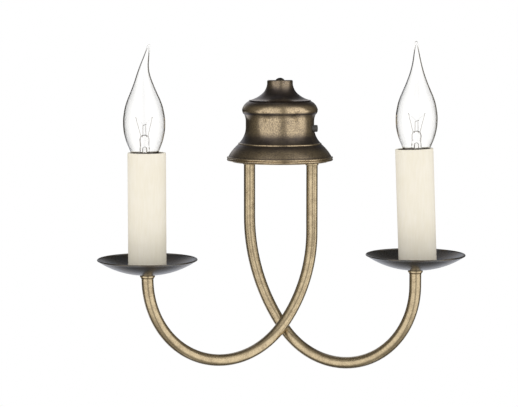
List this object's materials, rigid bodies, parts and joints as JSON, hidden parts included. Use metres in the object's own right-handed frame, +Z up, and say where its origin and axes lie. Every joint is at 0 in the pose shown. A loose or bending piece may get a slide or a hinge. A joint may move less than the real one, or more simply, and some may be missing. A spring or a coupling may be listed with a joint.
{
  "type": "double arm wall sconce",
  "caption": "Wall light with a half-bell brass housing, crossing bent tube arms, drip dishes, candle sleeves and bent-tip candle bulbs that screw out, and a push switch.",
  "frame": {"origin": "centre of the two wall-fixing slots, on the wall plane", "axes": "+Y into the wall, +X to the right as seen from the room, +Z up"},
  "size_m": [0.3094, 0.146, 0.2835],
  "materials": {
    "housing_brass": "aged antique brass, speckled, satin",
    "plate_brass": "aged antique brass, satin",
    "arm_brass": "antique brass tube, semi-gloss",
    "ring_brass": "bright lacquered brass",
    "dish_bronze": "dark bronze plate, glossy",
    "zinc_steel": "zinc plated",
    "dark_screw": "blackened, semi-gloss",
    "earth_brass": "plain brass",
    "grommet_rubber": "black rubber",
    "block_plastic": "natural white, moulded",
    "switch_plastic": "black moulding",
    "holder_plastic": "black thermoset moulding",
    "lead_sheath": "white two-core sheath",
    "sleeve_ivory": "ivory, satin",
    "bulb_glass": "clear",
    "cap_metal": "rolled, bright",
    "wire_metal": "drawn wire"
  },
  "bodies": {
    "root": {"housing_shell": "housing_brass", "bottom_plate": "plate_brass", "rear_arm": "arm_brass", "front_arm": "arm_brass", "rear_arm_collar": "ring_brass", "front_arm_collar": "ring_brass", "left_dish_collar": "ring_brass", "right_dish_collar": "ring_brass", "left_dish": "dish_bronze", "right_dish": "dish_bronze", "wall_bracket": "zinc_steel", "left_holder_strap": "zinc_steel", "right_holder_strap": "zinc_steel", "rear_arm_locknut": "zinc_steel", "front_arm_locknut": "zinc_steel", "left_holder_nut": "zinc_steel", "right_holder_nut": "zinc_steel", "plate_screw": "zinc_steel", "block_screw": "zinc_steel", "terminal_screws": "zinc_steel", "switch_nut": "zinc_steel", "switch_lugs": "zinc_steel", "top_screw": "dark_screw", "earth_screw": "earth_brass", "terminal_barrels": "earth_brass", "left_holder_shell": "earth_brass", "right_holder_shell": "earth_brass", "left_holder_contact": "earth_brass", "right_holder_contact": "earth_brass", "cable_grommet": "grommet_rubber", "terminal_block": "block_plastic", "switch_body": "switch_plastic", "left_holder_body": "holder_plastic", "right_holder_body": "holder_plastic", "rear_lead": "lead_sheath", "front_lead": "lead_sheath", "left_candle_sleeve": "sleeve_ivory", "right_candle_sleeve": "sleeve_ivory"},
    "left_bulb_carriage": {"left_bulb_contact": "switch_plastic"},
    "left_bulb": {"left_bulb_glass": "bulb_glass", "left_bulb_cap": "cap_metal", "left_bulb_stem": "bulb_glass", "left_filament": "wire_metal"},
    "right_bulb_carriage": {"right_bulb_contact": "switch_plastic"},
    "right_bulb": {"right_bulb_glass": "bulb_glass", "right_bulb_cap": "cap_metal", "right_bulb_stem": "bulb_glass", "right_filament": "wire_metal"},
    "button": {"switch_button": "switch_plastic"}
  },
  "joints": [
    {"name": "switch_press", "type": "slide", "parent": "root", "child": "button", "axis": [-1, 0, 0], "range_m": [0, 0.002], "stiffness_N_per_m": 500, "springref_m": -0.0005},
    {"name": "left_bulb_rise", "type": "slide", "parent": "root", "child": "left_bulb_carriage", "axis": [-0.0157, 0, 0.9999], "range_m": [0, 0.0099]},
    {"name": "left_bulb_turn", "type": "hinge", "parent": "left_bulb_carriage", "child": "left_bulb", "pos_m": [-0.11205, -0.10395, -0.12313], "axis": [-0.0157, 0, 0.9999], "range_deg": [0, 1260]},
    {"name": "right_bulb_rise", "type": "slide", "parent": "root", "child": "right_bulb_carriage", "axis": [0, 0, 1], "range_m": [0, 0.0099]},
    {"name": "right_bulb_turn", "type": "hinge", "parent": "right_bulb_carriage", "child": "right_bulb", "pos_m": [0.11339, -0.09196, -0.12047], "axis": [0, 0, 1], "range_deg": [0, 1260]}
  ],
  "couplings": [
    {"joint": "left_bulb_rise", "follows": "left_bulb_turn", "m_per_rad": 0.00044882},
    {"joint": "right_bulb_rise", "follows": "right_bulb_turn", "m_per_rad": 0.00044882}
  ]
}
